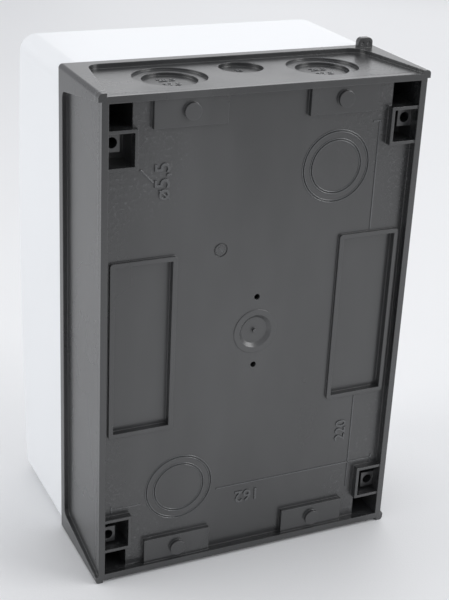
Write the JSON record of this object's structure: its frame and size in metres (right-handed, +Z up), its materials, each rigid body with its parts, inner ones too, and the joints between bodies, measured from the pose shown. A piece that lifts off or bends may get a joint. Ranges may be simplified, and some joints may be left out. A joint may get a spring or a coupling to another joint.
{
  "type": "wall-mounted subpanel enclosure",
  "caption": "Wall-mounted plastic subpanel enclosure: recessed dark base with cable-entry knock-outs, screwed light bowed cover, hinged clear door, module rail and terminal bars.",
  "frame": {"origin": "middle of the underside, half way between the wall plane and the crown of the front", "axes": "+X to the right seen from the front, +Y towards the wall, +Z up"},
  "size_m": [0.18, 0.14, 0.2775],
  "materials": {
    "base_plastic": "satin moulded anthracite",
    "cover_plastic": "smooth satin light grey-white",
    "door_clear": "clear smoked polycarbonate",
    "seal_rubber": "matt black foam rubber",
    "insert_brass": "turned brass",
    "zinc_steel": "zinc plated",
    "carrier_plastic": "moulded grey",
    "strip_plastic": "smooth light grey",
    "knob_plastic": "moulded dark grey",
    "screw_plastic": "moulded grey"
  },
  "bodies": {
    "base": {"base_shell": "base_plastic", "cover_gasket": "seal_rubber", "cover_inserts": "insert_brass", "rail_bracket_left": "zinc_steel", "rail_bracket_right": "zinc_steel", "din_rail": "zinc_steel", "bracket_screws": "zinc_steel", "rail_screws": "zinc_steel", "terminal_carrier": "carrier_plastic", "carrier_screws": "zinc_steel", "neutral_bar": "insert_brass", "earth_bar": "insert_brass", "terminal_screws": "zinc_steel"},
    "cover": {"cover_shell": "cover_plastic", "blanking_strip": "strip_plastic", "door_seal": "seal_rubber", "screw_washers": "seal_rubber", "hinge_pins": "zinc_steel"},
    "door": {"door_pane": "door_clear"},
    "latch": {"latch_knob": "knob_plastic", "latch_cam": "knob_plastic"},
    "cover_screw_lower_left": {"cover_screw_lower_left": "screw_plastic"},
    "cover_screw_upper_left": {"cover_screw_upper_left": "screw_plastic"},
    "cover_screw_lower_right": {"cover_screw_lower_right": "screw_plastic"},
    "cover_screw_upper_right": {"cover_screw_upper_right": "screw_plastic"}
  },
  "joints": [
    {"name": "cover_off", "type": "slide", "parent": "base", "child": "cover", "axis": [0, -1, 0], "range_m": [0, 0.12]},
    {"name": "door_hinge", "type": "hinge", "parent": "cover", "child": "door", "pos_m": [0, -0.06036, 0.2339], "axis": [-1, 0, 0], "range_deg": [0, 88]},
    {"name": "latch_turn", "type": "hinge", "parent": "door", "child": "latch", "pos_m": [0, -0.06663, 0.1492], "axis": [0, 1, 0], "range_deg": [0, 90]},
    {"name": "turn_lower_left", "type": "hinge", "parent": "cover", "child": "cover_screw_lower_left", "pos_m": [-0.07805, -0.02, 0.01185], "axis": [0, -1, 0], "continuous": true},
    {"name": "turn_upper_left", "type": "hinge", "parent": "cover", "child": "cover_screw_upper_left", "pos_m": [-0.07805, -0.02, 0.26015], "axis": [0, -1, 0], "continuous": true},
    {"name": "turn_lower_right", "type": "hinge", "parent": "cover", "child": "cover_screw_lower_right", "pos_m": [0.07805, -0.02, 0.01185], "axis": [0, -1, 0], "continuous": true},
    {"name": "turn_upper_right", "type": "hinge", "parent": "cover", "child": "cover_screw_upper_right", "pos_m": [0.07805, -0.02, 0.26015], "axis": [0, -1, 0], "continuous": true}
  ]
}
